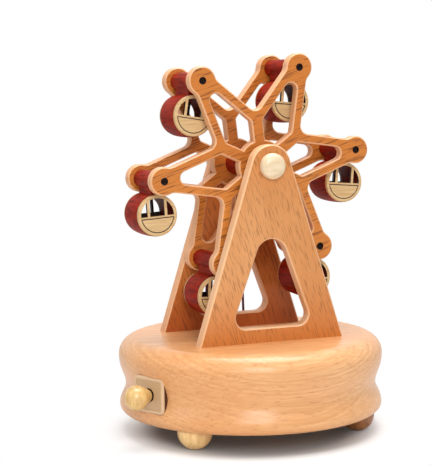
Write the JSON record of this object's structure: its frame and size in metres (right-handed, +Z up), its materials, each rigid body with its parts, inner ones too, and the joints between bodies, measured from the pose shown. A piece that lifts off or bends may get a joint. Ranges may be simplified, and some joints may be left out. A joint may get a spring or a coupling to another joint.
{
  "type": "hand-cranked wooden ferris wheel toy",
  "caption": "Wooden ferris wheel toy: round cabins hang between two star-shaped boards on A-shaped stands, over a turned base with ball feet, a side knob and a belt drive.",
  "frame": {"origin": "middle of the whole toy's box, knob and all, on the floor; the base's axis stands 4.5 mm to its right", "axes": "+Z up; the wheel's axle lies along Y and the front, with the capped A-board, faces -Y; +X to the right seen from the front"},
  "size_m": [0.134, 0.125, 0.1766],
  "materials": {
    "beech_board": "oiled beech",
    "beech_star": "oiled beech, warmer",
    "beech_base": "turned beech, lacquered",
    "pale_wood": "pale wood, lacquered",
    "bleached_wood": "bleached wood, lacquered",
    "red_wood": "stained dark red",
    "maple_face": "maple ply with burnt lines",
    "steel": "plain",
    "belt": "satin",
    "plate": "matt, paler lip",
    "nylon": "satin",
    "block_wood": "plain"
  },
  "bodies": {
    "base": {"base_body": "beech_base", "base_cover": "beech_base", "cover_screws": "steel", "foot_front_left": "pale_wood", "foot_front_right": "pale_wood", "foot_rear_left": "pale_wood", "foot_rear_right": "pale_wood", "front_frame": "beech_board", "rear_frame": "beech_board", "frame_dowels": "pale_wood", "knob_plate": "plate", "front_bearing": "block_wood", "rear_bearing": "block_wood", "crank_bearing": "block_wood", "bearing_screws": "steel", "drive_belt": "belt"},
    "wheel": {"axle": "steel", "hub_barrel": "red_wood", "front_star": "beech_star", "rear_star": "beech_star", "cabin_pins": "steel", "front_washer": "bleached_wood", "rear_washer": "bleached_wood", "front_cap": "bleached_wood", "rear_cap": "bleached_wood", "upper_pulley": "nylon"},
    "cabin_1": {"cabin_1_body": "red_wood", "cabin_1_front_face": "maple_face", "cabin_1_rear_face": "maple_face"},
    "cabin_2": {"cabin_2_body": "red_wood", "cabin_2_front_face": "maple_face", "cabin_2_rear_face": "maple_face"},
    "cabin_3": {"cabin_3_body": "red_wood", "cabin_3_front_face": "maple_face", "cabin_3_rear_face": "maple_face"},
    "cabin_4": {"cabin_4_body": "red_wood", "cabin_4_front_face": "maple_face", "cabin_4_rear_face": "maple_face"},
    "cabin_5": {"cabin_5_body": "red_wood", "cabin_5_front_face": "maple_face", "cabin_5_rear_face": "maple_face"},
    "cabin_6": {"cabin_6_body": "red_wood", "cabin_6_front_face": "maple_face", "cabin_6_rear_face": "maple_face"},
    "drive": {"drive_shaft": "steel", "drive_gear": "nylon", "lower_pulley": "nylon"},
    "crank": {"knob": "pale_wood", "crank_shaft": "steel", "pinion": "nylon"}
  },
  "joints": [
    {"name": "wheel_spin", "type": "hinge", "parent": "base", "child": "wheel", "pos_m": [0.00454, 0, 0.1253], "axis": [0, 1, 0], "continuous": true},
    {"name": "cabin_1_swing", "type": "hinge", "parent": "wheel", "child": "cabin_1", "pos_m": [0.05288, 0, 0.13118], "axis": [0, 1, 0], "continuous": true},
    {"name": "cabin_2_swing", "type": "hinge", "parent": "wheel", "child": "cabin_2", "pos_m": [0.02362, 0, 0.17011], "axis": [0, 1, 0], "continuous": true},
    {"name": "cabin_3_swing", "type": "hinge", "parent": "wheel", "child": "cabin_3", "pos_m": [-0.02473, 0, 0.16422], "axis": [0, 1, 0], "continuous": true},
    {"name": "cabin_4_swing", "type": "hinge", "parent": "wheel", "child": "cabin_4", "pos_m": [-0.0438, 0, 0.11942], "axis": [0, 1, 0], "continuous": true},
    {"name": "cabin_5_swing", "type": "hinge", "parent": "wheel", "child": "cabin_5", "pos_m": [-0.01454, 0, 0.08049], "axis": [0, 1, 0], "continuous": true},
    {"name": "cabin_6_swing", "type": "hinge", "parent": "wheel", "child": "cabin_6", "pos_m": [0.03381, 0, 0.08638], "axis": [0, 1, 0], "continuous": true},
    {"name": "drive_spin", "type": "hinge", "parent": "base", "child": "drive", "pos_m": [0.00454, 0, 0.024], "axis": [0, 1, 0], "continuous": true},
    {"name": "crank_spin", "type": "hinge", "parent": "base", "child": "crank", "pos_m": [-0.05446, -0.02031, 0.024], "axis": [-0.9063, -0.4226, 0], "continuous": true}
  ],
  "couplings": [
    {"joint": "cabin_1_swing", "follows": "wheel_spin", "ratio": -1},
    {"joint": "cabin_2_swing", "follows": "wheel_spin", "ratio": -1},
    {"joint": "cabin_3_swing", "follows": "wheel_spin", "ratio": -1},
    {"joint": "cabin_4_swing", "follows": "wheel_spin", "ratio": -1},
    {"joint": "cabin_5_swing", "follows": "wheel_spin", "ratio": -1},
    {"joint": "cabin_6_swing", "follows": "wheel_spin", "ratio": -1},
    {"joint": "drive_spin", "follows": "wheel_spin", "ratio": 0.69725},
    {"joint": "crank_spin", "follows": "wheel_spin", "ratio": 1.3945}
  ]
}
